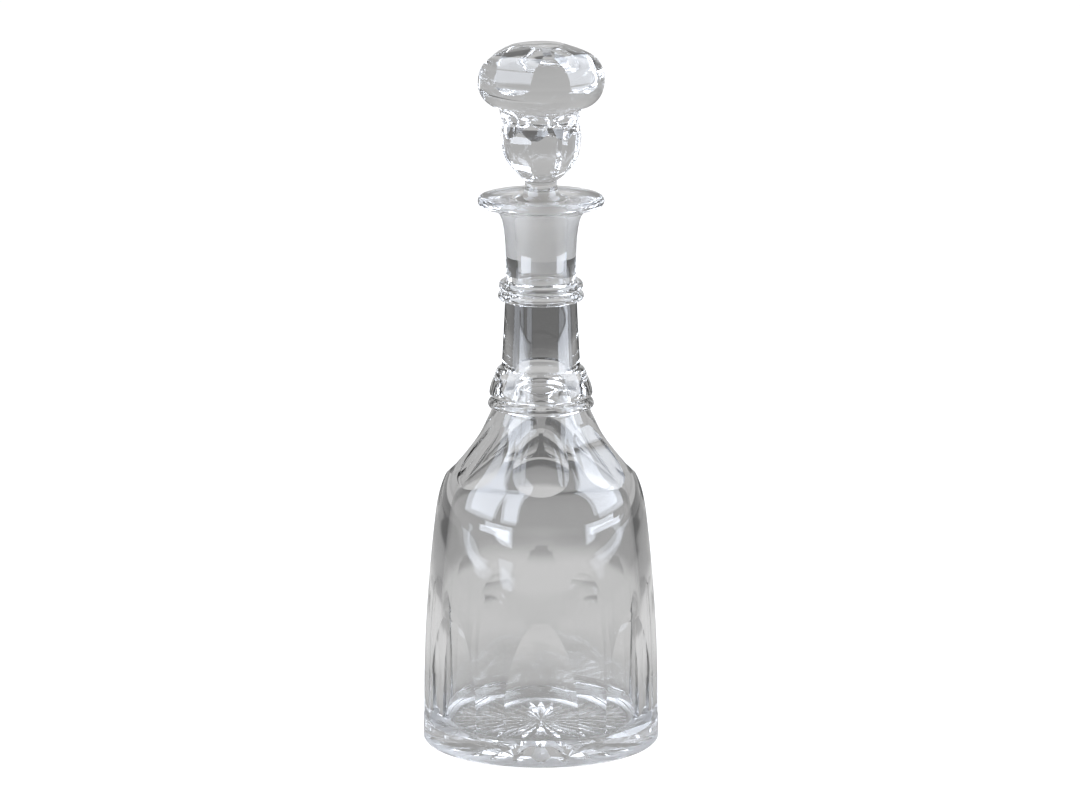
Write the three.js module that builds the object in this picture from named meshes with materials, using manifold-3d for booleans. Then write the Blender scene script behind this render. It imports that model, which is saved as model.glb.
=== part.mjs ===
// A cut glass decanter with its stopper, in millimetres, +Z up, standing on z = 0.
// The body and neck are blown in one with a pulled-out lip, the neck rings are applied trails,
// broad flutes are cut on the shoulder and the body, a star is cut under the base, and the
// mushroom stopper is solid, facet cut, with a ground plug that fits the ground bore.
import * as THREE from "three";
import { mergeVertices } from "three/addons/utils/BufferGeometryUtils.js";
import Module from "manifold-3d";

const wasm = await Module();
wasm.setup();

// Body: the foot band stays round, and the wall above it leans in as one long arc.
const baseRadius = 50;
const footBevel = 0.8;
const footBandHeight = 9;
const bodyRise = 89;
const bodyTopRadius = 44.6;

// Shoulder: a short bend, a straight cone and a hollow sweep up into the neck.
const bendRise = 19;
const shoulderRadius = 38.5;
const coneRise = 14.5;
const coneTopRadius = 27.2;
const sweepRise = 30.5;

// Neck and lip.
const neckFootRadius = 16.5;
const neckFootSlope = -0.06;
const neckRise = 44;
const neckWaistRadius = 14.75;
const flareRise = 18.5;
const flareRadius = 16.5;
const flareStart = 0.7;
const lipTurnOut = 1.2;
const lipTurnDrop = 1;
const lipUnderRise = 5.4;
const lipEdgeRadius = 2.15;
const lipRadius = 26.5;

// Inside of the vessel.
const floorThickness = 7;
const floorCrown = 1.5;
const floorCornerRadius = 9;
const bodyWall = 6;
const shoulderWall = 5.8;
const neckBoreRadius = 10.8;

// Ground bore that the plug of the stopper fits.
const mouthDish = 0.8;
const mouthRadius = 13;
const mouthRounding = 2.2;
const boreTopRadius = 11;
const boreEndRadius = 9.9;
const boreLength = 31;
const boreRelief = 2;

// Cutting: as many flutes on the shoulder as broad ones on the body, with one facing the front,
// and a narrow flute between each two broad ones.
const fluteCount = 7;
const fluteRunOut = 2;
const fluteWheel = 45;
const fluteWheelTurn = 35;
const broadFluteDepth = 2.7;
const broadFluteLength = 40;
const narrowFluteDepth = 0.5;
const narrowFluteLength = 52.5;
const shoulderFluteDepth = 1.7;
const shoulderFluteDrop = 3;
const shoulderFluteLength = 25.5;
const shoulderFluteEnds = 3.5;

// Star cut under the base, each groove running right across.
const starPoints = 24;
const starRadius = 36;
const starDepth = 2.4;
const starGrooveWidth = 11;

// Applied neck rings: a bead and a collar at the foot of the neck, a double bead higher up.
// The collar swells most below its middle, and its fullness below 1 squares it up.
const ringSeat = 0.3;
const ringEdge = 0.25;
const beadFootRise = 12.4;
const beadHeight = 4.6;
const beadStandOff = 2.5;
const collarGap = 0.4;
const collarHeight = 12.6;
const collarStandOff = 3.1;
const collarLean = 0.75;
const collarFullness = 0.7;
const upperRingDrop = 16.4;
const upperRingHeight = 9;
const upperRingStandOff = 2.7;
const upperRingGroove = 1.1;
const upperBeadShare = 0.9;

// Stopper: ground plug, throat, knop, waist and mushroom head.
const plugClearance = 0.3;
const plugEndGap = 1.5;
const plugBevel = 1.2;
const plugShoulderRise = 1.6;
const throatRise = 6.5;
const throatRadius = 6.6;
const knopFootRise = 13.6;
const knopFootRadius = 16.3;
const knopBowlInset = 1;
const knopBowlBend = 0.43;
const knopRise = 9;
const knopRadius = 16.9;
const knopSwell = 0.3;
const waistRise = 1.9;
const waistRadius = 15.7;
const waistBend = 0.4;
const waistFlare = 16.6;
const waistFlareRise = 5.6;
const flareBend = 0.2;
const flareTurnOut = 1.4;
const headUndersideRise = 1.9;
const headUndersideRadius = 21;
const headUndersideBend = 0.3;
const headGirthRise = 10.4;
const headRadius = 26.5;
const headDomeRise = 14.8;
const headDomeFlatness = 2.8;
const headTableRadius = 9.6;

// Cutting on the stopper: hollow flutes round the waist, flat facets down the knop, each under a
// ridge between two flutes, and shallow hollows round the dome. Turns are in degrees from the front.
const stemFlutes = 8;
const waistFluteTurn = -9;
const waistFluteRadius = 8;
const waistFluteHalfWidth = 11;
const waistFluteDepth = 1.2;
const waistFluteRise = 0.6;
const knopFacetDepth = 0.8;
const knopFacetEnds = 8;
const knopFacetMargin = 0.6;
const domeFacets = 5;
const domeFacetTurn = 45;
const domeFacetHollow = 80;
const domeFacetDepth = 1.3;
const domeFacetDrop = 0.27;

// Fineness of the round forms.
const vesselSides = 56;
const ringSides = 32;
const stopperSides = 36;
const waistFluteSides = 22;
const domeFacetSides = 72;
const fluteRows = 5;
const runOutRows = 7;
const shoulderFluteRows = 8;
const knopFacetRows = 6;

// How far a cutter reaches out past the glass.
const cutReach = 30;

// Heights that follow from the sizes above.
const bodyTopZ = footBandHeight + bodyRise;
const coneFootZ = bodyTopZ + bendRise;
const coneTopZ = coneFootZ + coneRise;
const neckFootZ = coneTopZ + sweepRise;
const neckWaistZ = neckFootZ + neckRise;
const lipFootZ = neckWaistZ + flareRise;
const lipTopZ = lipFootZ + lipUnderRise + 2 * lipEdgeRadius;
const boreTopZ = lipTopZ - mouthDish - mouthRounding;
const boreEndZ = boreTopZ - boreLength;

// Slopes are changes of radius per millimetre of height.
const coneSlope = (coneTopRadius - shoulderRadius) / coneRise;
const bodyTopSlope = (2 * (bodyTopRadius - baseRadius)) / bodyRise;

const point = (radius, z) => new THREE.Vector2(radius, z);

// Where a line of one slope through a point meets a line of another slope through the next.
function meet(a, slopeA, b, slopeB) {
  const z = (b.x - a.x + slopeA * a.y - slopeB * b.y) / (slopeA - slopeB);
  return point(a.x + slopeA * (z - a.y), z);
}

// A smooth curve between two points, without its first point.
function curve(from, control, to, steps = 5) {
  return new THREE.QuadraticBezierCurve(from, control, to).getPoints(steps).slice(1);
}

// An arc about a centre, its angles in degrees, without its first point.
function arc(centre, radius, from, to, steps = 6) {
  const points = [];
  for (let i = 1; i <= steps; i += 1) {
    const angle = THREE.MathUtils.degToRad(from + ((to - from) * i) / steps);
    points.push(point(centre.x + radius * Math.cos(angle), centre.y + radius * Math.sin(angle)));
  }
  return points;
}

// The radius of a rising profile at a height, for what seats on it.
function radiusAt(profile, z) {
  for (let i = 1; i < profile.length; i += 1) {
    const low = profile[i - 1];
    const high = profile[i];
    if (high.y > low.y && z >= low.y && z <= high.y) {
      return low.x + ((high.x - low.x) * (z - low.y)) / (high.y - low.y);
    }
  }
  return profile[profile.length - 1].x;
}

// A closed three.js geometry as a solid that can be cut.
function solidOf(geometry) {
  const bare = geometry.index ? geometry.toNonIndexed() : geometry.clone();
  bare.deleteAttribute("normal");
  bare.deleteAttribute("uv");
  const merged = mergeVertices(bare, 1e-4);
  const corners = merged.index.array;
  const kept = [];
  for (let i = 0; i < corners.length; i += 3) {
    const [a, b, c] = [corners[i], corners[i + 1], corners[i + 2]];
    if (a !== b && b !== c && c !== a) {
      kept.push(a, b, c);
    }
  }
  const vertProperties = new Float32Array(merged.attributes.position.array);
  const triVerts = new Uint32Array(kept);
  return new wasm.Manifold(new wasm.Mesh({ numProp: 3, vertProperties, triVerts }));
}

// A round form about the Z axis from a profile of radius and height.
function turned(profile, sides) {
  return new THREE.LatheGeometry(profile, sides).rotateX(Math.PI / 2);
}

// A flat grinding cut across +X, from its outline in radius and height and its width.
function slice(outline, width) {
  const options = { depth: width, bevelEnabled: false };
  const slab = new THREE.ExtrudeGeometry(new THREE.Shape(outline), options);
  return slab.translate(0, 0, -width / 2).rotateX(Math.PI / 2);
}

// Takes copies of a cutter that faces +X out of the glass, evenly round it from the front, or
// from a share of the way to the next one.
function cutRound(glass, cutter, count, share = 0) {
  let cut = glass;
  for (let i = 0; i < count; i += 1) {
    const turn = (2 * Math.PI * (i + share)) / count - Math.PI / 2;
    cut = cut.subtract(solidOf(cutter.clone().rotateZ(turn)));
  }
  return cut;
}

function meshOf(name, solid, material) {
  const made = solid.getMesh();
  const positions = new Float32Array(made.numVert * 3);
  for (let i = 0; i < made.numVert; i += 1) {
    const start = made.numProp * i;
    positions.set(made.vertProperties.subarray(start, start + 3), 3 * i);
  }
  const geometry = new THREE.BufferGeometry();
  geometry.setAttribute("position", new THREE.BufferAttribute(positions, 3));
  geometry.setIndex(new THREE.BufferAttribute(new Uint32Array(made.triVerts), 1));
  geometry.computeVertexNormals();
  const mesh = new THREE.Mesh(geometry, material);
  mesh.name = name;
  return mesh;
}

// The radius of the uncut body wall, an arc that starts upright on the foot band.
function bodyRadiusAt(z) {
  const share = (z - footBandHeight) / bodyRise;
  return baseRadius + (bodyTopRadius - baseRadius) * share ** 2;
}

// The outer wall from the table up and over the lip, before any cutting.
function outerProfile() {
  const band = point(baseRadius, footBandHeight);
  const bodyTop = point(bodyTopRadius, bodyTopZ);
  const bodyControl = point(baseRadius, footBandHeight + bodyRise / 2);
  const coneFoot = point(shoulderRadius, coneFootZ);
  const coneMiddle = point((shoulderRadius + coneTopRadius) / 2, coneFootZ + coneRise / 2);
  const coneTop = point(coneTopRadius, coneTopZ);
  const neckFoot = point(neckFootRadius, neckFootZ);
  const neckWaist = point(neckWaistRadius, neckWaistZ);
  const lipFoot = point(flareRadius, lipFootZ);
  const lipCentre = point(lipRadius - lipEdgeRadius, lipTopZ - lipEdgeRadius);
  const lipUnder = point(lipCentre.x, lipCentre.y - lipEdgeRadius);
  return [
    point(0, 0),
    point(baseRadius - footBevel, 0),
    point(baseRadius, footBevel),
    band,
    ...curve(band, bodyControl, bodyTop, 5),
    ...curve(bodyTop, meet(bodyTop, bodyTopSlope, coneFoot, coneSlope), coneFoot, 4),
    coneMiddle,
    coneTop,
    ...curve(coneTop, meet(coneTop, coneSlope, neckFoot, neckFootSlope), neckFoot, 5),
    ...curve(neckFoot, meet(neckFoot, neckFootSlope, neckWaist, 0), neckWaist, 3),
    ...curve(neckWaist, point(neckWaistRadius, neckWaistZ + flareRise * flareStart), lipFoot, 3),
    ...curve(lipFoot, point(flareRadius + lipTurnOut, lipUnder.y - lipTurnDrop), lipUnder, 3),
    ...arc(lipCentre, lipEdgeRadius, -90, 90),
  ];
}

// The inside from the mouth down to the middle of the floor.
function innerProfile() {
  const inward = point(-1, coneSlope).normalize().multiplyScalar(shoulderWall);
  const mouth = point(mouthRadius, lipTopZ - mouthDish);
  const boreTop = point(boreTopRadius, boreTopZ);
  const mouthControl = point(boreTopRadius, boreTopZ + mouthRounding);
  const neckTop = point(neckBoreRadius, boreEndZ - boreRelief);
  const neckFoot = point(neckBoreRadius, neckFootZ);
  const coneTop = point(coneTopRadius, coneTopZ).add(inward);
  const coneFoot = point(shoulderRadius, coneFootZ).add(inward);
  const wallTop = point(bodyTopRadius - bodyWall, bodyTopZ);
  const corner = point(bodyRadiusAt(floorThickness) - bodyWall, floorThickness);
  const wallFoot = point(corner.x, corner.y + floorCornerRadius);
  const wallControl = point(corner.x, (wallFoot.y + wallTop.y) / 2);
  const floorRim = point(corner.x - floorCornerRadius, corner.y);
  const floorMiddle = point(0, floorThickness + floorCrown);
  return [
    mouth,
    ...curve(mouth, mouthControl, boreTop, 2),
    point(boreEndRadius, boreEndZ),
    neckTop,
    neckFoot,
    ...curve(neckFoot, meet(neckFoot, 0, coneTop, coneSlope), coneTop, 4),
    coneFoot,
    ...curve(coneFoot, meet(coneFoot, coneSlope, wallTop, bodyTopSlope), wallTop, 4),
    ...curve(wallTop, wallControl, wallFoot, 2),
    ...curve(wallFoot, corner, floorRim, 3),
    ...curve(floorRim, point(floorRim.x / 2, floorMiddle.y), floorMiddle, 2),
  ];
}

// A body flute: flat across, parallel to the wall, and run out at its top by the wheel.
function bodyFlute(length, depth) {
  const foot = footBandHeight + fluteRunOut;
  const top = foot + length;
  const outline = [
    point(baseRadius + cutReach, footBandHeight),
    point(baseRadius, footBandHeight),
  ];
  for (let i = 0; i <= fluteRows; i += 1) {
    const z = foot + (length * i) / fluteRows;
    outline.push(point(bodyRadiusAt(z) - depth, z));
  }
  const lean = THREE.MathUtils.radToDeg(Math.atan(bodyRadiusAt(top) - bodyRadiusAt(top + 1)));
  const turn = THREE.MathUtils.degToRad(lean);
  const centre = point(
    bodyRadiusAt(top) - depth + fluteWheel * Math.cos(turn),
    top + fluteWheel * Math.sin(turn),
  );
  outline.push(...arc(centre, fluteWheel, 180 + lean, 180 + lean - fluteWheelTurn, runOutRows));
  outline.push(point(baseRadius + cutReach, outline[outline.length - 1].y));
  return slice(outline, baseRadius);
}

// A cut that is flat across and follows a rising profile at one depth, but for its rounded ends.
function followingCut(profile, foot, length, depth, ends, rows) {
  const reach = baseRadius + cutReach;
  const outline = [point(reach, foot)];
  for (let i = 0; i <= rows; i += 1) {
    const share = (1 - Math.cos((Math.PI * i) / rows)) / 2;
    const z = foot + length * share;
    const sunk = depth * (1 - Math.abs(2 * share - 1) ** ends);
    const slope = (radiusAt(profile, z + 1) - radiusAt(profile, z - 1)) / 2;
    const inward = point(-1, slope).normalize().multiplyScalar(sunk);
    outline.push(point(radiusAt(profile, z), z).add(inward));
  }
  outline.push(point(reach, foot + length));
  return slice(outline, reach);
}

function shoulderFlute() {
  const foot = coneFootZ - shoulderFluteDrop;
  const [length, depth, ends] = [shoulderFluteLength, shoulderFluteDepth, shoulderFluteEnds];
  return followingCut(outerProfile(), foot, length, depth, ends, shoulderFluteRows);
}

// One mitre groove of the star, deepest in the middle of the base and pointed at both ends.
function starGroove() {
  return new THREE.OctahedronGeometry(1).scale(starRadius, starGrooveWidth / 2, starDepth);
}

function makeVessel(material) {
  const wall = [...outerProfile(), ...innerProfile()];
  let glass = solidOf(turned(wall, vesselSides));
  glass = cutRound(glass, bodyFlute(broadFluteLength, broadFluteDepth), fluteCount);
  glass = cutRound(glass, bodyFlute(narrowFluteLength, narrowFluteDepth), fluteCount, 0.5);
  glass = cutRound(glass, shoulderFlute(), fluteCount);
  for (let i = 0; i < starPoints / 2; i += 1) {
    glass = glass.subtract(solidOf(starGroove().rotateZ((2 * Math.PI * i) / starPoints)));
  }
  return meshOf("vessel", glass, material);
}

// A ring trailed on to the neck: its bore follows the neck, and its outside stands off it.
// Each row of the shape is a share of the ring's height and a stand-off from the neck.
function makeRing(name, foot, height, shape, material) {
  const neck = outerProfile();
  const seat = (z) => radiusAt(neck, z) + ringSeat;
  const inside = [];
  const rows = 4;
  for (let i = rows; i >= 0; i -= 1) {
    const z = foot + (height * i) / rows;
    inside.push(point(seat(z), z));
  }
  const outside = shape.map(([share, standOff]) => {
    const z = foot + height * share;
    return point(seat(z) + standOff, z);
  });
  const profile = [...outside, ...inside, outside[0]];
  return meshOf(name, solidOf(turned(profile, ringSides)), material);
}

// A half-round bead as rows of height share and stand-off.
function beadRows(low, high, standOff, rows = 6) {
  const shape = [];
  for (let i = 0; i <= rows; i += 1) {
    const angle = (Math.PI * i) / rows;
    const share = low + ((high - low) * (1 - Math.cos(angle))) / 2;
    shape.push([share, ringEdge + standOff * Math.sin(angle)]);
  }
  return shape;
}

// The collar as rows of height share and stand-off.
function collarRows(rows = 9) {
  const shape = [];
  for (let i = 0; i <= rows; i += 1) {
    const share = (1 - Math.cos((Math.PI * i) / rows)) / 2;
    const swelling = Math.sin(Math.PI * share ** collarLean);
    shape.push([share, ringEdge + collarStandOff * Math.max(swelling, 0) ** collarFullness]);
  }
  return shape;
}

function makeRings(material) {
  const beadFoot = coneTopZ + beadFootRise;
  const collarFoot = beadFoot + beadHeight + collarGap;
  const upperFoot = neckWaistZ - upperRingDrop;
  const doubleBead = [
    ...beadRows(0, 0.5, upperRingStandOff).slice(0, -1),
    [0.5, upperRingStandOff - upperRingGroove],
    ...beadRows(0.5, 1, upperRingStandOff * upperBeadShare).slice(1),
  ];
  return [
    makeRing("lower_neck_bead", beadFoot, beadHeight, beadRows(0, 1, beadStandOff), material),
    makeRing("lower_neck_collar", collarFoot, collarHeight, collarRows(), material),
    makeRing("upper_neck_ring", upperFoot, upperRingHeight, doubleBead, material),
  ];
}

// The stopper from the end of the plug up to the flat table on its head.
function stopperProfile() {
  const taper = (boreTopRadius - boreEndRadius) / boreLength;
  const plugRadius = (z) => boreEndRadius + taper * (z - boreEndZ) - plugClearance;
  const plugEnd = boreEndZ + plugEndGap;
  const plugTop = boreTopZ + plugShoulderRise;
  const plugShoulder = point(plugRadius(plugTop), plugTop);
  const throat = point(throatRadius, lipTopZ + throatRise);
  const knopFoot = point(knopFootRadius, throat.y + knopFootRise);
  const knopTop = point(knopRadius, knopFoot.y + knopRise);
  const waist = point(waistRadius, knopTop.y + waistRise);
  const flare = point(waistFlare, waist.y + waistFlareRise);
  const underside = point(headUndersideRadius, flare.y + headUndersideRise);
  const girth = point(headRadius, underside.y + headGirthRise);
  const table = point(headTableRadius, girth.y + headDomeRise);
  return [
    point(0, plugEnd),
    point(plugRadius(plugEnd) - plugBevel, plugEnd),
    point(plugRadius(plugEnd + plugBevel), plugEnd + plugBevel),
    plugShoulder,
    ...curve(plugShoulder, point(throatRadius, plugShoulder.y + 1), throat, 4),
    ...curve(throat, point(knopFoot.x - knopBowlInset, throat.y + knopFootRise * knopBowlBend), knopFoot, 5),
    ...curve(knopFoot, point(knopTop.x + knopSwell, knopTop.y - knopRise / 3), knopTop, 3),
    ...curve(knopTop, point(waistRadius, knopTop.y + waistRise * waistBend), waist, 2),
    ...curve(waist, point(waistFlare, waist.y + waistFlareRise * flareBend), flare, 3),
    ...curve(flare, point(flare.x + flareTurnOut, underside.y), underside, 3),
    ...curve(underside, point(headRadius, underside.y + headGirthRise * headUndersideBend), girth, 5),
    ...curve(girth, point(headRadius, table.y - headDomeFlatness), table, 6),
    point(0, table.y),
  ];
}

// A shallow hollow ground into the dome of the head, between its table and its girth.
function domeFacet(profile) {
  const table = profile[profile.length - 2];
  const centreZ = table.y - headDomeRise * domeFacetDrop;
  const side = profile.filter((p) => p.y > table.y - headDomeRise);
  const near = side.reduce((a, b) => (Math.abs(b.y - centreZ) < Math.abs(a.y - centreZ) ? b : a));
  const place = side.indexOf(near);
  const along = side[place + 1].clone().sub(side[place - 1]).normalize();
  const outward = point(along.y, -along.x);
  const centre = near.clone().addScaledVector(outward, domeFacetHollow - domeFacetDepth);
  const wheel = new THREE.SphereGeometry(domeFacetHollow, domeFacetSides, domeFacetSides / 2);
  return wheel.translate(centre.x, 0, centre.y);
}

// A broad hollow flute in the cove between the head and the knop.
function waistFlute() {
  const waistZ = lipTopZ + throatRise + knopFootRise + knopRise + waistRise;
  const reach = waistRadius - waistFluteDepth + waistFluteRadius;
  return new THREE.SphereGeometry(waistFluteRadius, waistFluteSides, waistFluteSides / 2)
    .scale(1, waistFluteHalfWidth / waistFluteRadius, 1)
    .translate(reach, 0, waistZ + waistFluteRise);
}

// A flat facet down the knop, from its top and on along its round foot to the throat.
function knopFacet(profile) {
  const foot = lipTopZ + throatRise + knopFacetMargin;
  const length = knopFootRise + knopRise;
  return followingCut(profile, foot, length, knopFacetDepth, knopFacetEnds, knopFacetRows);
}

function makeStopper(material) {
  const profile = stopperProfile();
  const domeShare = (domeFacets * domeFacetTurn) / 360;
  const fluteShare = (stemFlutes * waistFluteTurn) / 360;
  let glass = solidOf(turned(profile, stopperSides));
  glass = cutRound(glass, domeFacet(profile), domeFacets, domeShare);
  glass = cutRound(glass, waistFlute(), stemFlutes, fluteShare);
  glass = cutRound(glass, knopFacet(profile), stemFlutes, fluteShare - 1 / 2);
  return meshOf("stopper", glass, material);
}

const bodyGlass = new THREE.MeshStandardMaterial({
  color: 0xc9cfd1,
  roughness: 0.05,
  metalness: 0,
  transparent: true,
  opacity: 0.45,
});
const ringGlass = bodyGlass.clone();
const stopperGlass = bodyGlass.clone();
stopperGlass.color.set(0xc2c9cc);

const decanter = new THREE.Group();
decanter.add(makeVessel(bodyGlass), ...makeRings(ringGlass), makeStopper(stopperGlass));

export default decanter;
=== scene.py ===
import math

import bpy
from mathutils import Matrix, Vector


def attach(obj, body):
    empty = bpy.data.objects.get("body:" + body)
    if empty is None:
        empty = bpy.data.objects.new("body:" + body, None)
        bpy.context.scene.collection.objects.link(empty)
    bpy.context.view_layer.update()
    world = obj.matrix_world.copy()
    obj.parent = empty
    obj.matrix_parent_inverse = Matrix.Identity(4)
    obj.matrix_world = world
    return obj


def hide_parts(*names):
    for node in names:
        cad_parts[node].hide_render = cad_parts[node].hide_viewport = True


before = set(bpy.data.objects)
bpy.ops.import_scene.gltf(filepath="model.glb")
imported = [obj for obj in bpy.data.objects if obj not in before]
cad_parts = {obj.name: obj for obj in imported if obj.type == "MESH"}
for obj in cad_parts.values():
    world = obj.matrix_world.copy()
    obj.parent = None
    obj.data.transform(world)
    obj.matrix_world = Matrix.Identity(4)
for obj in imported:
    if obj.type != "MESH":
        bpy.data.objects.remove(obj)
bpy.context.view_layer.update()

MM = 0.001

# Body: a round foot band, a wall that leans in as one long arc, a bend and a straight cone.
BASE_RADIUS = 50 * MM
FOOT_BEVEL = 0.8 * MM
BASE_ROW_SHARE = 0.75
FOOT_BAND_TOP = 9 * MM
BODY_TOP = 98 * MM
BODY_TOP_RADIUS = 44.6 * MM
CONE_FOOT = 117 * MM
CONE_FOOT_RADIUS = 38.5 * MM
CONE_TOP = 131.5 * MM
CONE_TOP_RADIUS = 27.2 * MM
CONE_SLOPE = (CONE_TOP_RADIUS - CONE_FOOT_RADIUS) / (CONE_TOP - CONE_FOOT)
BODY_TOP_SLOPE = 2 * (BODY_TOP_RADIUS - BASE_RADIUS) / (BODY_TOP - FOOT_BAND_TOP)

# Neck and lip: the neck narrows to its waist, flares, and is pulled out to a flat round lip.
NECK_FOOT = 162 * MM
NECK_FOOT_RADIUS = 16.5 * MM
NECK_FOOT_SLOPE = -0.06
NECK_WAIST = 206 * MM
NECK_WAIST_RADIUS = 14.75 * MM
LIP_FOOT = 224.5 * MM
FLARE_RADIUS = 16.5 * MM
FLARE_START = 5.5 * MM
FLARE_OUT = 1.2 * MM
FLARE_DROP = 1 * MM
LIP_UNDERSIDE = 229.9 * MM
LIP_EDGE_RADIUS = 2.15 * MM
LIP_RADIUS = 26.5 * MM
LIP_TOP = LIP_UNDERSIDE + 2 * LIP_EDGE_RADIUS

# Inside of the vessel: thick floor, round corner, even wall, narrow neck and tapered ground bore.
# The faces that are ground lie within BORE_REACH of the axis, and within RESTING_RING_DEPTH of the base.
FLOOR = 7 * MM
FLOOR_CROWN = 1.5 * MM
FLOOR_CORNER = 9 * MM
BODY_WALL = 6 * MM
SHOULDER_WALL = 5.8 * MM
NECK_BORE = 10.8 * MM
MOUTH_DISH = 0.8 * MM
MOUTH_RADIUS = 13 * MM
MOUTH_ROUNDING = 2.2 * MM
BORE_TOP_RADIUS = 11 * MM
BORE_END_RADIUS = 9.9 * MM
BORE_LENGTH = 31 * MM
BORE_RELIEF = 2 * MM
BORE_TOP = LIP_TOP - MOUTH_DISH - MOUTH_ROUNDING
BORE_END = BORE_TOP - BORE_LENGTH
GROUND_END = 208 * MM
BORE_REACH = 11.5 * MM
RESTING_RING_DEPTH = 0.1 * MM

# Trailed rings, fused to the neck.
BEAD_FOOT = 143.9 * MM
BEAD_HEIGHT = 4.6 * MM
BEAD_STAND_OFF = 2.8 * MM
COLLAR_FOOT = 148.9 * MM
COLLAR_HEIGHT = 12.6 * MM
UPPER_RING_FOOT = 189.6 * MM
UPPER_RING_HEIGHT = 9 * MM
UPPER_RING_STAND_OFF = 3 * MM
UPPER_BEAD_SHARE = 0.93
BEAD_ROWS = 14
# The collar's section: share of its height, and how far it stands off the neck in millimetres.
COLLAR_SECTION = (
    (0, 1.6), (0.04, 3.0), (0.12, 3.5), (0.25, 3.6), (0.4, 3.5), (0.5, 3.25),
    (0.6, 2.8), (0.7, 2.45), (0.82, 2.2), (0.9, 1.8), (0.96, 1.1), (1, 0),
)

# Cutting of the body and shoulder. The wheel leaves the glass within WHEEL_EXIT degrees of its turn.
FLUTES = 7
BODY_WHEEL = 85 * MM
WHEEL_EXIT = 35
BROAD_FLUTE_DEPTH = 2.7 * MM
BROAD_FLUTE_TOP_DEPTH = 0.4 * MM
BROAD_FLUTE_TOP = 58 * MM
NARROW_FLUTE_DEPTH = 0.5 * MM
NARROW_FLUTE_TOP = 63.5 * MM
BODY_FLUTE_FOOT = 11 * MM
BODY_FLUTE_MARGIN = 0.5 * MM
BODY_FLUTE_ROWS = 24
WHEEL_ROWS = 40
SHOULDER_FLUTE_FOOT = 114 * MM
SHOULDER_FLUTE_HEAD = 139.5 * MM
SHOULDER_FLUTE_DEPTH = 1.7 * MM
SHOULDER_FLUTE_ENDS = 2.6
FLAT_FLUTE_ROWS = 60
SLOPE_REACH = MM / 4
CUT_REACH = 30 * MM

# Star cut under the base.
STAR_POINTS = 24
STAR_RADIUS = 40 * MM
STAR_DEPTH = 2.2 * MM
STAR_GROOVE = 11 * MM
STAR_ROWS = 14

# Stopper: ground plug, throat, knop, waist and mushroom head with a flat table. An inset, bulge, lift
# or drop places the control point of a curve, measured from the point that it is named for.
PLUG_CLEARANCE = 0.3 * MM
PLUG_END = BORE_END + 1.5 * MM
PLUG_BEVEL = 1.2 * MM
PLUG_TOP = BORE_TOP + 1.6 * MM
THROAT = LIP_TOP + 6.5 * MM
THROAT_RADIUS = 6.6 * MM
THROAT_LIFT = 1 * MM
KNOP_FOOT = THROAT + 13.6 * MM
KNOP_FOOT_RADIUS = 16.3 * MM
KNOP_FOOT_INSET = 1 * MM
KNOP_FOOT_SHARE = 0.43
KNOP_TOP = KNOP_FOOT + 9 * MM
KNOP_RADIUS = 16.9 * MM
KNOP_BULGE = 0.3 * MM
KNOP_BULGE_DROP = 3 * MM
KNOP_EDGE_LIFT = 0.76 * MM
WAIST = KNOP_TOP + 1.9 * MM
WAIST_RADIUS = 15.7 * MM
WAIST_LIFT = 1.12 * MM
FLARE = WAIST + 5.6 * MM
WAIST_FLARE = 17.4 * MM
UNDERSIDE = FLARE + 1.9 * MM
UNDERSIDE_RADIUS = 21 * MM
UNDERSIDE_CORNER = 17.9 * MM
UNDERSIDE_LIFT = 3.1 * MM
GIRTH = UNDERSIDE + 10.4 * MM
HEAD_RADIUS = 26.5 * MM
TABLE = GIRTH + 14.8 * MM
TABLE_RADIUS = 9.6 * MM
TABLE_DROP = 2.8 * MM

# Cutting of the stopper.
STEM_FLUTES = 8
WAIST_FLUTE_TURN = -9
WAIST_FLUTE_RADIUS = 8 * MM
WAIST_FLUTE_WIDTH = 11 * MM
WAIST_FLUTE_DEPTH = 1.6 * MM
WAIST_FLUTE_RISE = 0.6 * MM
WAIST_FLUTE_SIDES = 128
KNOP_FACET_DEPTH = 0.8 * MM
KNOP_FACET_ENDS = 8
KNOP_FACET_MARGIN = 0.6 * MM
DOME_FACETS = 5
DOME_FACET_TURN = 45
DOME_FACET_DEPTH = 1.3 * MM
DOME_FACET_ENDS = 6
DOME_FACET_DROP = 3 * MM

# Fineness: sides of the turned blanks, the angle past which an edge is crisp, and what counts as double.
VESSEL_SIDES = 252
STOPPER_SIDES = 180
SMOOTH_ANGLE = 9
SPUN_DOUBLES = 0.004 * MM
CUT_DOUBLES = 0.01 * MM


# Outlines, as rows of (radius, height).

def bezier(start, control, end, steps):
    """A quadratic curve between two points, without its first point."""
    points = []
    for i in range(1, steps + 1):
        t = i / steps
        near, middle, far = (1 - t) ** 2, 2 * t * (1 - t), t * t
        points.append(tuple(near * a + middle * c + far * b for a, c, b in zip(start, control, end)))
    return points


def straight(start, end, steps):
    """Points along a straight line, without its first point."""
    return [
        tuple(a + (b - a) * i / steps for a, b in zip(start, end))
        for i in range(1, steps + 1)
    ]


def arc(centre, radius, low, high, steps):
    """An arc about a centre, its angles in degrees, without its first point."""
    angles = [math.radians(low + (high - low) * i / steps) for i in range(1, steps + 1)]
    return [(centre[0] + radius * math.cos(a), centre[1] + radius * math.sin(a)) for a in angles]


def meet(a, slope_a, b, slope_b):
    """Where a line of one slope through a point meets a line of another slope through the next."""
    z = (b[0] - a[0] + slope_a * a[1] - slope_b * b[1]) / (slope_a - slope_b)
    return (a[0] + slope_a * (z - a[1]), z)


def radius_at(profile, z):
    """The radius of a rising outline at a height."""
    for low, high in zip(profile, profile[1:]):
        if high[1] > low[1] and low[1] <= z <= high[1]:
            return low[0] + (high[0] - low[0]) * (z - low[1]) / (high[1] - low[1])
    return profile[-1][0]


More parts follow.
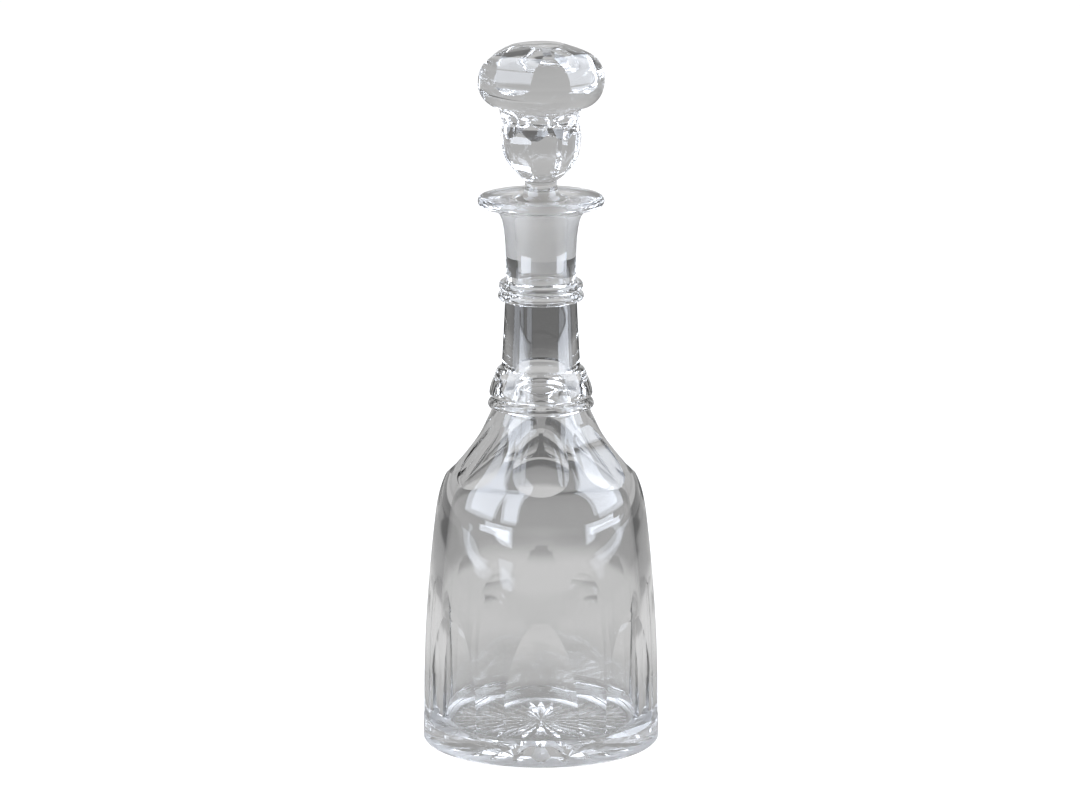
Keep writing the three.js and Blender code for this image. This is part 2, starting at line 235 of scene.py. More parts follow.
def body_radius(z):
    """The body's outside below the bend, before it is cut."""
    share = (z - FOOT_BAND_TOP) / (BODY_TOP - FOOT_BAND_TOP)
    return BASE_RADIUS + (BODY_TOP_RADIUS - BASE_RADIUS) * share**2


def bore_radius(z):
    """The taper of the ground bore, which the plug shares."""
    return BORE_END_RADIUS + (BORE_TOP_RADIUS - BORE_END_RADIUS) * (z - BORE_END) / BORE_LENGTH


# Modelling.

def deselect_all():
    """Leaves edit mode, with nothing selected."""
    if bpy.context.object and bpy.context.object.mode != "OBJECT":
        bpy.ops.object.mode_set(mode="OBJECT")
    bpy.ops.object.select_all(action="DESELECT")


def draw_chain(name, points, closed=False):
    """A chain of edges in the XZ plane, drawn by extruding one vertex from point to point."""
    deselect_all()
    bpy.ops.mesh.primitive_plane_add(size=MM)
    piece = bpy.context.object
    piece.name = name
    bpy.ops.object.mode_set(mode="EDIT")
    bpy.ops.mesh.select_all(action="SELECT")
    bpy.ops.mesh.merge(type="CENTER")
    bpy.ops.transform.translate(value=(points[0][0], 0, points[0][1]))
    for here, there in zip(points, points[1:]):
        step = (there[0] - here[0], 0, there[1] - here[1])
        bpy.ops.mesh.extrude_region_move(TRANSFORM_OT_translate={"value": step})
    if closed:
        bpy.ops.mesh.select_all(action="SELECT")
        bpy.ops.mesh.edge_face_add()
    return piece


def spun(name, points, steps):
    """A round solid, spun about the Z axis from its drawn outline."""
    piece = draw_chain(name, points)
    bpy.ops.mesh.select_all(action="SELECT")
    bpy.ops.mesh.spin(steps=steps, angle=2 * math.pi, center=(0, 0, 0), axis=(0, 0, 1))
    bpy.ops.mesh.select_all(action="SELECT")
    bpy.ops.mesh.remove_doubles(threshold=SPUN_DOUBLES)
    bpy.ops.mesh.normals_make_consistent(inside=False)
    bpy.ops.object.mode_set(mode="OBJECT")
    return piece


def slab(name, outline, width):
    """A grinding cut across +X, drawn as its side view and extruded over its width."""
    piece = draw_chain(name, outline, closed=True)
    bpy.ops.transform.translate(value=(0, -width / 2, 0))
    bpy.ops.mesh.extrude_region_move(TRANSFORM_OT_translate={"value": (0, width, 0)})
    bpy.ops.mesh.select_all(action="SELECT")
    bpy.ops.mesh.normals_make_consistent(inside=False)
    bpy.ops.object.mode_set(mode="OBJECT")
    return piece


def boolean(target, other, operation):
    """Joins another solid to a target, or cuts it out of it, and removes the other."""
    deselect_all()
    bpy.context.view_layer.objects.active = target
    made = target.modifiers.new(operation, "BOOLEAN")
    made.object = other
    made.operation = operation
    made.solver = "MANIFOLD"
    bpy.ops.object.modifier_apply(modifier=made.name)
    bpy.data.objects.remove(other)


def turned_copy(piece, angle):
    """A copy of a piece with its own mesh, turned about the Z axis."""
    deselect_all()
    piece.select_set(True)
    bpy.context.view_layer.objects.active = piece
    bpy.ops.object.duplicate()
    copy = bpy.context.object
    copy.data.transform(Matrix.Rotation(angle, 4, "Z"))
    return copy


def cut_round(glass, cutter, count, first=0, turn=2 * math.pi):
    """Joins copies of a cutter that faces +X into one ring of cutters, and cuts it out of the glass."""
    front = math.radians(first) - math.pi / 2
    ring = turned_copy(cutter, front)
    for i in range(1, count):
        boolean(ring, turned_copy(cutter, front + turn * i / count), "UNION")
    bpy.data.objects.remove(cutter)
    boolean(glass, ring, "DIFFERENCE")


def finish_piece(piece):
    """Merges what the cuts left double, points the faces outwards and keeps the cut edges crisp."""
    deselect_all()
    piece.select_set(True)
    bpy.context.view_layer.objects.active = piece
    bpy.ops.object.mode_set(mode="EDIT")
    bpy.ops.mesh.select_all(action="SELECT")
    bpy.ops.mesh.remove_doubles(threshold=CUT_DOUBLES)
    bpy.ops.mesh.normals_make_consistent(inside=False)
    bpy.ops.object.mode_set(mode="OBJECT")
    bpy.ops.object.shade_smooth_by_angle(angle=math.radians(SMOOTH_ANGLE))


def flat_flute(name, outline, foot, head, depth, ends, width):
    """A flat flute that follows a rising outline at one depth, but for its rounded ends."""
    path = [(width, foot)]
    for i in range(FLAT_FLUTE_ROWS + 1):
        share = i / FLAT_FLUTE_ROWS
        z = foot + (head - foot) * share
        sunk = depth * (1 - abs(2 * share - 1) ** ends)
        step = radius_at(outline, z + SLOPE_REACH) - radius_at(outline, z - SLOPE_REACH)
        length = math.hypot(step, 2 * SLOPE_REACH)
        path.append((radius_at(outline, z) - sunk * 2 * SLOPE_REACH / length, z + sunk * step / length))
    path.append((width, head))
    return slab(name, path, width)


# Vessel.

def bead(low, high, stand_off):
    """A half-round bead, as rows of height and stand-off from the neck."""
    middle, half = (low + high) / 2, (high - low) / 2
    angles = [math.pi * i / BEAD_ROWS for i in range(BEAD_ROWS + 1)]
    return [(middle - half * math.cos(angle), stand_off * math.sin(angle)) for angle in angles]


def neck_profile():
    """The neck above the cone, and the lip, as two outlines."""
    cone_top = (CONE_TOP_RADIUS, CONE_TOP)
    neck_foot = (NECK_FOOT_RADIUS, NECK_FOOT)
    neck_waist = (NECK_WAIST_RADIUS, NECK_WAIST)
    lip_foot = (FLARE_RADIUS, LIP_FOOT)
    centre = (LIP_RADIUS - LIP_EDGE_RADIUS, LIP_UNDERSIDE + LIP_EDGE_RADIUS)
    under = (centre[0], LIP_UNDERSIDE)
    neck = [cone_top]
    neck += bezier(cone_top, meet(cone_top, CONE_SLOPE, neck_foot, NECK_FOOT_SLOPE), neck_foot, steps=30)
    neck += bezier(neck_foot, meet(neck_foot, NECK_FOOT_SLOPE, neck_waist, 0), neck_waist, steps=24)
    neck += bezier(neck_waist, (NECK_WAIST_RADIUS, LIP_FOOT - FLARE_START), lip_foot, steps=12)
    lip = bezier(lip_foot, (FLARE_RADIUS + FLARE_OUT, LIP_UNDERSIDE - FLARE_DROP), under, steps=10)
    lip += arc(centre, LIP_EDGE_RADIUS, -90, 90, steps=14)
    return neck, lip


def neck_rings():
    """The bead, the collar and the pinched upper ring, each as rows of height and stand-off."""
    pinch = UPPER_RING_FOOT + UPPER_RING_HEIGHT / 2
    top = UPPER_RING_FOOT + UPPER_RING_HEIGHT
    collar = [(COLLAR_FOOT + COLLAR_HEIGHT * share, off * MM) for share, off in COLLAR_SECTION]
    lower_half = bead(UPPER_RING_FOOT, pinch, UPPER_RING_STAND_OFF)
    upper_half = bead(pinch, top, UPPER_RING_STAND_OFF * UPPER_BEAD_SHARE)
    lowest = bead(BEAD_FOOT, BEAD_FOOT + BEAD_HEIGHT, BEAD_STAND_OFF)
    return [lowest, collar, lower_half[:-2] + upper_half[2:]]


def with_rings(neck):
    """The neck's outline with its trailed rings fused on."""
    points = []
    for ring in neck_rings():
        points += [p for p in neck if p[1] < ring[0][0] and (not points or p[1] > points[-1][1])]
        points += [(radius_at(neck, z) + off, z) for z, off in ring]
    points += [p for p in neck if p[1] > points[-1][1]]
    return points


def inner_outline():
    """The inside, from the mouth down to the middle of the floor."""
    length = math.hypot(1, CONE_SLOPE)
    inward = (-SHOULDER_WALL / length, SHOULDER_WALL * CONE_SLOPE / length)
    mouth = (MOUTH_RADIUS, LIP_TOP - MOUTH_DISH)
    bore_top = (BORE_TOP_RADIUS, BORE_TOP)
    neck_top = (NECK_BORE, BORE_END - BORE_RELIEF)
    neck_foot = (NECK_BORE, NECK_FOOT)
    cone_top = (CONE_TOP_RADIUS + inward[0], CONE_TOP + inward[1])
    cone_foot = (CONE_FOOT_RADIUS + inward[0], CONE_FOOT + inward[1])
    wall_top = (BODY_TOP_RADIUS - BODY_WALL, BODY_TOP)
    corner = (body_radius(FLOOR) - BODY_WALL, FLOOR)
    wall_foot = (corner[0], corner[1] + FLOOR_CORNER)
    floor_rim = (corner[0] - FLOOR_CORNER, corner[1])
    middle = (0, FLOOR + FLOOR_CROWN)
    points = [mouth]
    points += bezier(mouth, (BORE_TOP_RADIUS, BORE_TOP + MOUTH_ROUNDING), bore_top, steps=8)
    points += [(bore_radius(GROUND_END), GROUND_END), (BORE_END_RADIUS, BORE_END), neck_top]
    points += straight(neck_top, neck_foot, steps=10)
    points += bezier(neck_foot, meet(neck_foot, 0, cone_top, CONE_SLOPE), cone_top, steps=20)
    points += straight(cone_top, cone_foot, steps=6)
    points += bezier(cone_foot, meet(cone_foot, CONE_SLOPE, wall_top, BODY_TOP_SLOPE), wall_top, steps=16)
    points += bezier(wall_top, (corner[0], (wall_foot[1] + wall_top[1]) / 2), wall_foot, steps=24)
    points += bezier(wall_foot, corner, floor_rim, steps=14)
    points += bezier(floor_rim, (floor_rim[0] / 2, middle[1]), middle, steps=12)
    return points


def vessel_outline():
    """The whole vessel, from the middle of the base up the outside and down the inside."""
    body_top = (BODY_TOP_RADIUS, BODY_TOP)
    cone_foot = (CONE_FOOT_RADIUS, CONE_FOOT)
    cone_top = (CONE_TOP_RADIUS, CONE_TOP)
    wall_rows = [p[1] for p in straight((0, FOOT_BAND_TOP), (0, BODY_TOP), steps=40)]
    neck, lip = neck_profile()
    outside = [(0, 0), (BASE_RADIUS * BASE_ROW_SHARE, 0), (BASE_RADIUS - FOOT_BEVEL, 0)]
    outside += [(BASE_RADIUS, FOOT_BEVEL), (BASE_RADIUS, FOOT_BAND_TOP)]
    outside += [(body_radius(z), z) for z in wall_rows]
    outside += bezier(body_top, meet(body_top, BODY_TOP_SLOPE, cone_foot, CONE_SLOPE), cone_foot, steps=20)
    outside += straight(cone_foot, cone_top, steps=8)[:-1]
    outside += with_rings(neck)
    outside += lip
    return outside + inner_outline()


def body_flute(name, top, depth, top_depth):
    """A flute that gets shallower up the wall, and is run out at its top by the round of the wheel."""
    outline = [(BASE_RADIUS + CUT_REACH, FOOT_BAND_TOP)]
    outline.append((BASE_RADIUS + BODY_FLUTE_MARGIN, FOOT_BAND_TOP))
    for i in range(BODY_FLUTE_ROWS + 1):
        share = i / BODY_FLUTE_ROWS
        z = BODY_FLUTE_FOOT + (top - BODY_FLUTE_FOOT) * share
        outline.append((body_radius(z) - depth + (depth - top_depth) * share**2, z))
    lean = math.atan((body_radius(top) - body_radius(top + MM)) / MM)
    lean -= 2 * (depth - top_depth) / (top - BODY_FLUTE_FOOT)
    centre = (outline[-1][0] + BODY_WHEEL * math.cos(lean), top + BODY_WHEEL * math.sin(lean))
    start = 180 + math.degrees(lean)
    outline += arc(centre, BODY_WHEEL, start, start - WHEEL_EXIT, steps=WHEEL_ROWS)
    outline.append((BASE_RADIUS + CUT_REACH, outline[-1][1]))
    return slab(name, outline, BASE_RADIUS)


def star_groove():
    """A mitre groove right across the base, deepest and widest in the middle, and run out in a curve."""
    deselect_all()
    bpy.ops.mesh.primitive_uv_sphere_add(segments=4, ring_count=STAR_ROWS, radius=1)
    groove = bpy.context.object
    groove.name = "star_groove"
    groove.data.transform(Matrix.Rotation(math.pi / 2, 4, "Y"))
    for corner in groove.data.vertices:
        taper = math.sqrt(max(0, 1 - corner.co.x**2))
        corner.co.y *= taper
        corner.co.z *= taper
    groove.data.transform(Matrix.Diagonal((STAR_RADIUS, STAR_GROOVE / 2, STAR_DEPTH, 1)))
    return groove


def make_vessel():
    """The vessel, turned and then cut: body flutes, shoulder flutes and the star."""
    blank = vessel_outline()
    vessel = spun("vessel_glass", blank, VESSEL_SIDES)
    broad = body_flute("broad_flute", BROAD_FLUTE_TOP, BROAD_FLUTE_DEPTH, BROAD_FLUTE_TOP_DEPTH)
    cut_round(vessel, broad, FLUTES)
    narrow = body_flute("narrow_flute", NARROW_FLUTE_TOP, NARROW_FLUTE_DEPTH, NARROW_FLUTE_DEPTH)
    cut_round(vessel, narrow, FLUTES, first=180 / FLUTES)
    shoulder = flat_flute("shoulder_flute", blank, SHOULDER_FLUTE_FOOT, SHOULDER_FLUTE_HEAD,
                          SHOULDER_FLUTE_DEPTH, SHOULDER_FLUTE_ENDS, BASE_RADIUS)
    cut_round(vessel, shoulder, FLUTES)
    cut_round(vessel, star_groove(), STAR_POINTS // 2, turn=math.pi)
    finish_piece(vessel)
    return vessel


# Stopper.

def stopper_outline():
    """The stopper before it is cut, from the end of the plug up to the table."""
    plug_foot = (bore_radius(PLUG_END + PLUG_BEVEL) - PLUG_CLEARANCE, PLUG_END + PLUG_BEVEL)
    plug_end = (bore_radius(PLUG_END) - PLUG_CLEARANCE - PLUG_BEVEL, PLUG_END)
    shoulder = (bore_radius(PLUG_TOP) - PLUG_CLEARANCE, PLUG_TOP)
    throat = (THROAT_RADIUS, THROAT)
    knop_foot = (KNOP_FOOT_RADIUS, KNOP_FOOT)
    knop_top = (KNOP_RADIUS, KNOP_TOP)
    waist = (WAIST_RADIUS, WAIST)
    flare = (WAIST_FLARE, FLARE)
    underside = (UNDERSIDE_RADIUS, UNDERSIDE)
    girth = (HEAD_RADIUS, GIRTH)
    table = (TABLE_RADIUS, TABLE)
    knop_round = (KNOP_FOOT_RADIUS - KNOP_FOOT_INSET, THROAT + (KNOP_FOOT - THROAT) * KNOP_FOOT_SHARE)
    points = [(0, PLUG_END), plug_end, plug_foot, shoulder]
    points += bezier(shoulder, (THROAT_RADIUS, PLUG_TOP + THROAT_LIFT), throat, steps=14)
    points += bezier(throat, knop_round, knop_foot, steps=20)
    points += bezier(knop_foot, (KNOP_RADIUS + KNOP_BULGE, KNOP_TOP - KNOP_BULGE_DROP), knop_top, steps=12)
    points += bezier(knop_top, (WAIST_RADIUS, KNOP_TOP + KNOP_EDGE_LIFT), waist, steps=6)
    points += bezier(waist, (WAIST_FLARE, WAIST + WAIST_LIFT), flare, steps=10)
    points += bezier(flare, (UNDERSIDE_CORNER, UNDERSIDE), underside, steps=8)
    points += bezier(underside, (HEAD_RADIUS, UNDERSIDE + UNDERSIDE_LIFT), girth, steps=18)
    points += bezier(girth, (HEAD_RADIUS, TABLE - TABLE_DROP), table, steps=24)
    points.append((0, TABLE))
    return points


def waist_flute():
    """A broad hollow flute in the cove between the head and the knop."""
    deselect_all()
    bpy.ops.mesh.primitive_uv_sphere_add(
        segments=WAIST_FLUTE_SIDES, ring_count=WAIST_FLUTE_SIDES // 2, radius=WAIST_FLUTE_RADIUS
    )
    cutter = bpy.context.object
    cutter.name = "waist_flute"
    cutter.data.transform(Matrix.Diagonal((1, WAIST_FLUTE_WIDTH / WAIST_FLUTE_RADIUS, 1, 1)))
    reach = WAIST_RADIUS - WAIST_FLUTE_DEPTH + WAIST_FLUTE_RADIUS
    cutter.data.transform(Matrix.Translation((reach, 0, WAIST + WAIST_FLUTE_RISE)))
    return cutter


def make_stopper():
    """The stopper, turned and then cut: dome facets, waist flutes and knop facets."""
    blank = stopper_outline()
    stopper = spun("stopper_glass", blank, STOPPER_SIDES)
    dome_facet = flat_flute("dome_facet", blank, GIRTH - DOME_FACET_DROP, TABLE, DOME_FACET_DEPTH,
                            DOME_FACET_ENDS, 2 * HEAD_RADIUS)
    cut_round(stopper, dome_facet, DOME_FACETS, first=DOME_FACET_TURN)
    cut_round(stopper, waist_flute(), STEM_FLUTES, first=WAIST_FLUTE_TURN)
    foot, head = THROAT + KNOP_FACET_MARGIN, KNOP_TOP + KNOP_FACET_MARGIN
    knop_facet = flat_flute("knop_facet", blank, foot, head, KNOP_FACET_DEPTH,
                            KNOP_FACET_ENDS, 2 * KNOP_RADIUS)
    cut_round(stopper, knop_facet, STEM_FLUTES, first=WAIST_FLUTE_TURN - 180 / STEM_FLUTES)
    finish_piece(stopper)
    return stopper


# Materials.

LEAD_GLASS_IOR = 1.55
WAVE_LENGTH = 14 * MM
WAVE_HEIGHT = 0.08 * MM
GRIT = 0.4 * MM
GRIT_HEIGHT = 0.02 * MM
GRIT_STRETCH = 0.15
GROUND_CLARITY = 0.5
GROUND_ROUGHNESS = (0.4, 0.6)
SCUFF_LENGTH = 2.5 * MM
WORN_ROUGHNESS = (0.3, 0.5)


def srgb(code):
    """Turns an sRGB hex colour to linear."""
    channels = [int(code[i:i + 2], 16) / 255 for i in (1, 3, 5)]
    return tuple(c / 12.92 if c <= 0.04045 else ((c + 0.055) / 1.055) ** 2.4 for c in channels) + (1,)


def add_node(tree, kind, inputs=None, **settings):
    """Adds one node with its settings; an input is a value, or a socket that it is linked from."""
    made = tree.nodes.new(kind)
    for key, value in settings.items():
        setattr(made, key, value)
    for key, value in (inputs or {}).items():
        if isinstance(value, bpy.types.NodeSocket):
            tree.links.new(value, made.inputs[key])
        else:
            made.inputs[key].default_value = value
    return made


def lead_glass(name, colour, passed):
    """A smooth glass that lets a share of the light through: its material, node tree and shader."""
    material = bpy.data.materials.new(name)
    material.use_nodes = True
    shader = material.node_tree.nodes["Principled BSDF"]
    shader.inputs["Base Color"].default_value = srgb(colour)
    shader.inputs["Transmission Weight"].default_value = passed
    shader.inputs["IOR"].default_value = LEAD_GLASS_IOR
    shader.inputs["Roughness"].default_value = 0
    return material, material.node_tree, shader


def polished_lead_glass():
    """Blown lead glass, fire-polished, its cuts polished: clear, and wavy enough to bend reflections."""
    material, tree, shader = lead_glass("polished_lead_glass", "#F5F5F5", 1)
    place = add_node(tree, "ShaderNodeTexCoord")
    wave = add_node(tree, "ShaderNodeTexNoise",
                    {"Vector": place.outputs["Object"], "Scale": 1 / WAVE_LENGTH, "Detail": 0})
    bump = add_node(tree, "ShaderNodeBump", {"Height": wave.outputs[0], "Distance": WAVE_HEIGHT})
    tree.links.new(bump.outputs["Normal"], shader.inputs["Normal"])
    return material


def ground_lead_glass():
    """Lead glass ground with grit to seal, plug in bore: milky, with fine rings left by the turning.

    Real grit is about 0.1 mm: it is drawn at 0.4 mm, so that it shows.
    """
    material, tree, shader = lead_glass("ground_lead_glass", "#F4F1EC", GROUND_CLARITY)
    place = add_node(tree, "ShaderNodeTexCoord")
    rings = add_node(tree, "ShaderNodeMapping",
                     {"Vector": place.outputs["Object"], "Scale": (GRIT_STRETCH, GRIT_STRETCH, 1)})
    grit = add_node(tree, "ShaderNodeTexNoise",
                    {"Vector": rings.outputs[0], "Scale": 1 / GRIT, "Detail": 2})
    low, high = GROUND_ROUGHNESS
    rough = add_node(tree, "ShaderNodeMapRange",
                     {"Value": grit.outputs[0], "To Min": low, "To Max": high})
    bump = add_node(tree, "ShaderNodeBump", {"Height": grit.outputs[0], "Distance": GRIT_HEIGHT})
    tree.links.new(rough.outputs[0], shader.inputs["Roughness"])
    tree.links.new(bump.outputs["Normal"], shader.inputs["Normal"])
    return material


def worn_lead_glass():
    """The base, ground flat and then rubbed smoother in patches by years of standing on tables."""
    material, tree, shader = lead_glass("worn_lead_glass", "#F4F6F4", 1)
    place = add_node(tree, "ShaderNodeTexCoord")
    scuff = add_node(tree, "ShaderNodeTexNoise",
                     {"Vector": place.outputs["Object"], "Scale": 1 / SCUFF_LENGTH, "Detail": 4})
    low, high = WORN_ROUGHNESS
    rough = add_node(tree, "ShaderNodeMapRange",
                     {"Value": scuff.outputs[0], "To Min": low, "To Max": high})
    tree.links.new(rough.outputs[0], shader.inputs["Roughness"])
    return material


def give_faces(piece, material, inside):
    """Gives the faces whose middle is inside a region a material of their own."""
    piece.data.materials.append(material)
    slot = len(piece.data.materials) - 1
    for face in piece.data.polygons:
        if inside(face.center):
            face.material_index = slot


# Surroundings, which a glass object is seen by.

# To the eye the floor is a glow with a share of plain paint, which keeps the decanter's shadow.
FLOOR_RADIUS = 4
FLOOR_SIDES = 96
FLOOR_GAP = 0.2 * MM
FLOOR_COLOUR = "#E6E6E6"
FLOOR_GLOW = 1.2
FLOOR_SHADE = 0.25
# What the glass sees of the table, painted light and shade: distance from the decanter in metres, and how
# light it is painted there. The dark stops nearest the decanter are a painted contact shadow.
PAINTED_TABLE_TONES = (
    (0.045, 0.35), (0.12, 0.52), (0.22, 0.7), (0.31, 0.7), (0.38, 0.4),
    (0.54, 0.34), (0.63, 0.14), (1.0, 0.13), (1.2, 0.55),
)
# What the glass sees of the room: how light it is in front and behind, over which part of the way the
# one turns into the other, and how much lighter it gets upwards, up to a part of the way to the top.
ROOM_FRONT = 0.39
ROOM_BACK = 0.47
ROOM_TURN = (-0.3, 0.9)
ROOM_LIFT = 0.04
ROOM_LIFT_END = 0.25


def seen_by_glass(tree, path):
    """A socket that is 1 for a ray that a glass surface mirrors or lets through."""
    mirrored = path.outputs["Is Glossy Ray"]
    let_through = path.outputs["Is Transmission Ray"]
    either = add_node(tree, "ShaderNodeMath", {0: mirrored, 1: let_through}, operation="MAXIMUM")
    return either.outputs[0]


def pale_floor_paint():
    """Matt pale paint: white to the eye but for the shadow, and to glass a greyer table of painted tones,
    with a painted contact shadow next to the decanter.
    """
    material = bpy.data.materials.new("pale_floor_paint")
    material.use_nodes = True
    tree = material.node_tree
    tree.nodes.clear()
    path = add_node(tree, "ShaderNodeLightPath")
    place = add_node(tree, "ShaderNodeTexCoord")
    paint = add_node(tree, "ShaderNodeBsdfDiffuse", {"Color": srgb(FLOOR_COLOUR)})
    glow = add_node(tree, "ShaderNodeEmission", {"Strength": FLOOR_GLOW})
    to_eye = add_node(tree, "ShaderNodeMixShader",
                      {0: FLOOR_SHADE, 1: glow.outputs[0], 2: paint.outputs[0]})
    away = add_node(tree, "ShaderNodeVectorMath", {0: place.outputs["Object"]}, operation="LENGTH")
    share = add_node(tree, "ShaderNodeMath", {0: away.outputs["Value"], 1: FLOOR_RADIUS},
                     operation="DIVIDE")
    tones = add_node(tree, "ShaderNodeValToRGB", {"Fac": share.outputs[0]})
    tones.color_ramp.interpolation = "EASE"
    while len(tones.color_ramp.elements) < len(PAINTED_TABLE_TONES):
        tones.color_ramp.elements.new(1)
    for stop, (distance, tone) in zip(tones.color_ramp.elements, PAINTED_TABLE_TONES):
        stop.position = distance / FLOOR_RADIUS
        stop.color = (tone, tone, tone, 1)
    table = add_node(tree, "ShaderNodeEmission", {"Color": tones.outputs[0]})
    rest = add_node(tree, "ShaderNodeMixShader",
                    {0: seen_by_glass(tree, path), 1: paint.outputs[0], 2: table.outputs[0]})
    all_rays = add_node(tree, "ShaderNodeMixShader",
                        {0: path.outputs["Is Camera Ray"], 1: rest.outputs[0], 2: to_eye.outputs[0]})
    add_node(tree, "ShaderNodeOutputMaterial", {"Surface": all_rays.outputs[0]})
    return material


def make_floor():
    """A round floor, just clear of the base."""
    deselect_all()
    bpy.ops.mesh.primitive_circle_add(
        vertices=FLOOR_SIDES, radius=FLOOR_RADIUS, fill_type="NGON", location=(0, 0, -FLOOR_GAP)
    )
    floor = bpy.context.object
    floor.name = "floor"
    floor.data.materials.append(pale_floor_paint())


def light_room():
    """The world: white to the eye, and to the rest a plain room that is a little lighter at the back."""
    scene = bpy.context.scene
    scene.world = scene.world or bpy.data.worlds.new("room")
    scene.world.use_nodes = True
    tree = scene.world.node_tree
    tree.nodes.clear()
    path = add_node(tree, "ShaderNodeLightPath")
    place = add_node(tree, "ShaderNodeTexCoord")
    split = add_node(tree, "ShaderNodeSeparateXYZ", {0: place.outputs["Generated"]})
    depth = {"Value": split.outputs["Y"], "From Min": ROOM_TURN[0], "From Max": ROOM_TURN[1]}
    level = add_node(tree, "ShaderNodeMapRange", {**depth, "To Min": ROOM_FRONT, "To Max": ROOM_BACK})
    height = {"Value": split.outputs["Z"], "From Max": ROOM_LIFT_END}
    lift = add_node(tree, "ShaderNodeMapRange", {**height, "To Max": ROOM_LIFT},
                    interpolation_type="SMOOTHSTEP")
    total = add_node(tree, "ShaderNodeMath", {0: level.outputs[0], 1: lift.outputs[0]}, operation="ADD")
    room = add_node(tree, "ShaderNodeBackground",
                    {"Color": srgb("#FFFFFF"), "Strength": total.outputs[0]})
    white = add_node(tree, "ShaderNodeBackground", {"Color": srgb("#FFFFFF")})
    both = add_node(tree, "ShaderNodeMixShader",
                    {0: path.outputs["Is Camera Ray"], 1: room.outputs[0], 2: white.outputs[0]})
    add_node(tree, "ShaderNodeOutputWorld", {"Surface": both.outputs[0]})


# Windows, their glare on the table and two low reflectors. Azimuths, elevations, widths and heights are
# in degrees, azimuths from the front towards +X, and other lengths are in metres.
WINDOW_COLOUR = "#E9F0FC"
WINDOW_DISTANCE = 1.6
WINDOW_CENTRE = 0.12
WINDOW_SOFTNESS = 0.06
# Name, azimuth, elevation, width, height and strength.
WINDOWS = (
    ("left_window", -74, 29, 44, 50, 6),
    ("middle_window", -36, 29, 20, 50, 6),
    ("right_window", 86, 29, 44, 50, 6),
    ("left_skylight", -112, 58, 40, 36, 5),
    ("right_skylight", 127, 48, 40, 36, 5),
)
GLARE_STRENGTH = 3
GLARE_SOFTNESS = 0.2
GLARE_NEAR_SHARE = 0.7
# Name, azimuth and width, and how far from the decanter it begins and ends.
GLARES = (
    ("left_glare", -74, 46, 1, 1.55),
    ("middle_glare", -36, 20, 1, 1.9),
    ("right_glare", 86, 66, 1, 1.55),
)
REFLECTOR_DISTANCE = 0.5
REFLECTOR_FOOT = 0.087
REFLECTOR_HEIGHT = 0.033
REFLECTOR_STRENGTH = 9
REFLECTOR_SOFTNESS = 0.1
REFLECTOR_CUTS = 15
# Name, azimuth and width.
REFLECTORS = (
    ("left_reflector", -50, 38),
    ("right_reflector", 72, 44),
)


def window_light(name, strength, softness):
    """Daylight from a window, which falls off towards its edges as behind a curtain."""
    material = bpy.data.materials.new(name)
    material.use_nodes = True
    tree = material.node_tree
    tree.nodes.clear()
    place = add_node(tree, "ShaderNodeTexCoord")
    split = add_node(tree, "ShaderNodeSeparateXYZ", {0: place.outputs["UV"]})
    fades = []
    for axis in ("X", "Y"):
        edge = add_node(tree, "ShaderNodeMath", {0: split.outputs[axis], 1: 0.5}, operation="PINGPONG")
        fade = add_node(tree, "ShaderNodeMapRange", {"Value": edge.outputs[0], "From Max": softness},
                        interpolation_type="SMOOTHSTEP")
        fades.append(fade.outputs[0])
    both = add_node(tree, "ShaderNodeMath", {0: fades[0], 1: fades[1]}, operation="MULTIPLY")
    level = add_node(tree, "ShaderNodeMath", {0: both.outputs[0], 1: strength}, operation="MULTIPLY")
    glow = add_node(tree, "ShaderNodeEmission",
                    {"Color": srgb(WINDOW_COLOUR), "Strength": level.outputs[0]})
    add_node(tree, "ShaderNodeOutputMaterial", {"Surface": glow.outputs[0]})
    return material


def light_card(name):
    """A plane that lights the glass and isn't seen itself."""
    deselect_all()
    bpy.ops.mesh.primitive_plane_add(size=1)
    card = bpy.context.object
    card.name = name
    card.visible_camera = False
    card.visible_shadow = False
    return card


def make_window(name, azimuth, elevation, width, height, strength):
    """A window that faces the decanter."""
    card = light_card(name)
    across = 2 * WINDOW_DISTANCE * math.tan(math.radians(width / 2))
    up = 2 * WINDOW_DISTANCE * math.tan(math.radians(height / 2))
    card.data.transform(Matrix.Diagonal((across, up, 1, 1)))
    card.data.transform(Matrix.Translation((0, 0, -WINDOW_DISTANCE)))
    card.data.transform(Matrix.Rotation(-math.radians(90 + elevation), 4, "X"))
    card.data.transform(Matrix.Rotation(math.radians(azimuth), 4, "Z"))
    card.data.transform(Matrix.Translation((0, 0, WINDOW_CENTRE)))
    card.data.materials.append(window_light(name, strength, WINDOW_SOFTNESS))


def make_glare(name, azimuth, width, near, far):
    """A window's glare on the table, a strip that narrows towards the decanter."""
    card = light_card(name)
    card.visible_diffuse = False
    half = math.tan(math.radians(width / 2))
    for corner in card.data.vertices:
        distance = near if corner.co.y > 0 else far
        share = GLARE_NEAR_SHARE if corner.co.y > 0 else 1
        corner.co = (math.copysign(half * distance * share, corner.co.x), -distance, 0)
    card.data.transform(Matrix.Rotation(math.radians(azimuth), 4, "Z"))
    card.data.materials.append(window_light(name, GLARE_STRENGTH, GLARE_SOFTNESS))


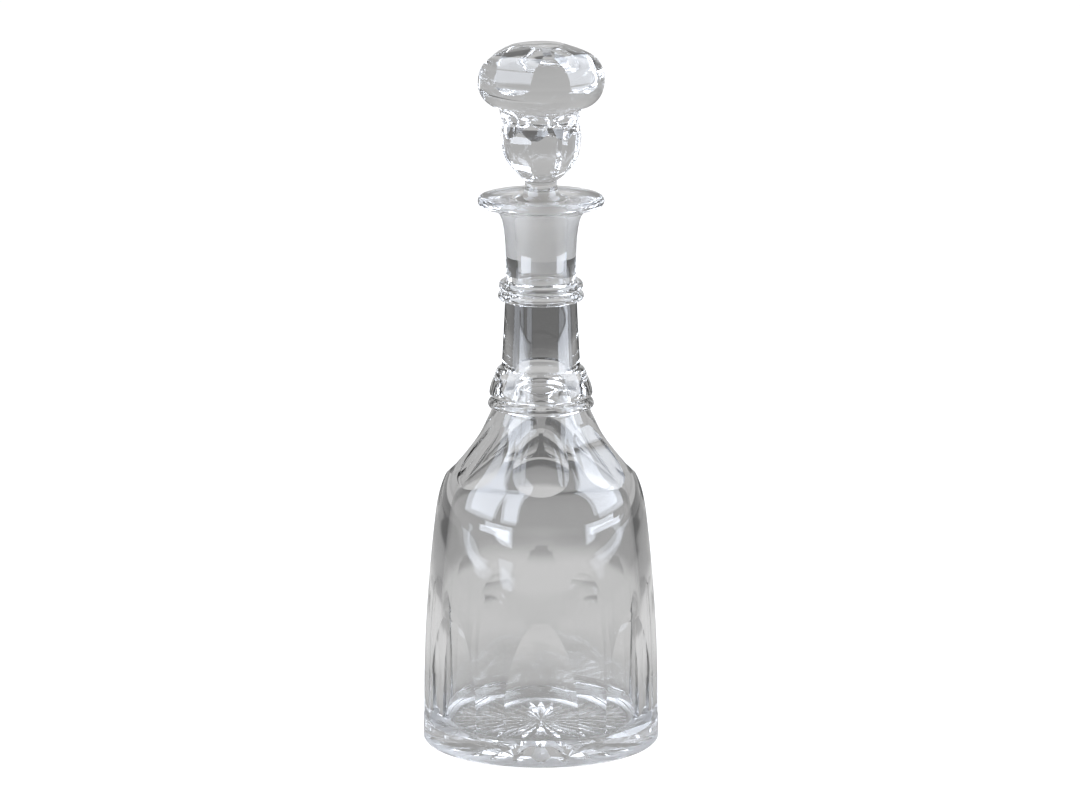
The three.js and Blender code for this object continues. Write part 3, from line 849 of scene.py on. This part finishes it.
def make_reflector(name, azimuth, width):
    """A low curved strip that stands round the decanter."""
    card = light_card(name)
    card.visible_diffuse = False
    bpy.ops.object.mode_set(mode="EDIT")
    bpy.ops.mesh.select_all(action="SELECT")
    bpy.ops.mesh.subdivide(number_cuts=REFLECTOR_CUTS)
    bpy.ops.object.mode_set(mode="OBJECT")
    for corner in card.data.vertices:
        angle = math.radians(azimuth + corner.co.x * width)
        height = REFLECTOR_FOOT + (corner.co.y + 0.5) * REFLECTOR_HEIGHT
        corner.co = (REFLECTOR_DISTANCE * math.sin(angle), -REFLECTOR_DISTANCE * math.cos(angle), height)
    card.data.materials.append(window_light(name, REFLECTOR_STRENGTH, REFLECTOR_SOFTNESS))


# Camera, a long lens from a little above.
CAMERA_ELEVATION = math.radians(12.5)
CAMERA_DISTANCE = 2.2
CAMERA_TARGET = Vector((-0.0004, 0, 0.1445))
CAMERA_SENSOR = 36
CAMERA_LENS = 174

# A ray is mirrored many times inside the thick walls, and ends as a black line if it is cut short.
GLOSSY_BOUNCES = 12


def make_camera():
    """The camera, aimed at the middle of the decanter."""
    back = Vector((0, -math.cos(CAMERA_ELEVATION), math.sin(CAMERA_ELEVATION)))
    deselect_all()
    bpy.ops.object.camera_add(location=CAMERA_TARGET + back * CAMERA_DISTANCE)
    camera = bpy.context.object
    camera.rotation_euler = (-back).to_track_quat("-Z", "Y").to_euler()
    camera.data.sensor_width = CAMERA_SENSOR
    camera.data.lens = CAMERA_LENS
    bpy.context.scene.camera = camera


# The decanter itself.
vessel = make_vessel()
stopper = make_stopper()
polished = polished_lead_glass()
ground = ground_lead_glass()
for piece in (vessel, stopper):
    piece.data.materials.clear()
    piece.data.materials.append(polished)
give_faces(vessel, ground, lambda c: GROUND_END < c.z < BORE_TOP and math.hypot(c.x, c.y) < BORE_REACH)
give_faces(vessel, worn_lead_glass(), lambda c: c.z < RESTING_RING_DEPTH)
give_faces(stopper, ground, lambda c: PLUG_END + PLUG_BEVEL < c.z < BORE_TOP)

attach(vessel, "vessel")
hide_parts("vessel", "lower_neck_bead", "lower_neck_collar", "upper_neck_ring")
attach(stopper, "stopper")
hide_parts("stopper")

make_floor()
light_room()
for window in WINDOWS:
    make_window(*window)
for glare in GLARES:
    make_glare(*glare)
for reflector in REFLECTORS:
    make_reflector(*reflector)
make_camera()

bpy.context.scene.view_settings.view_transform = "Standard"
bpy.context.scene.cycles.glossy_bounces = GLOSSY_BOUNCES
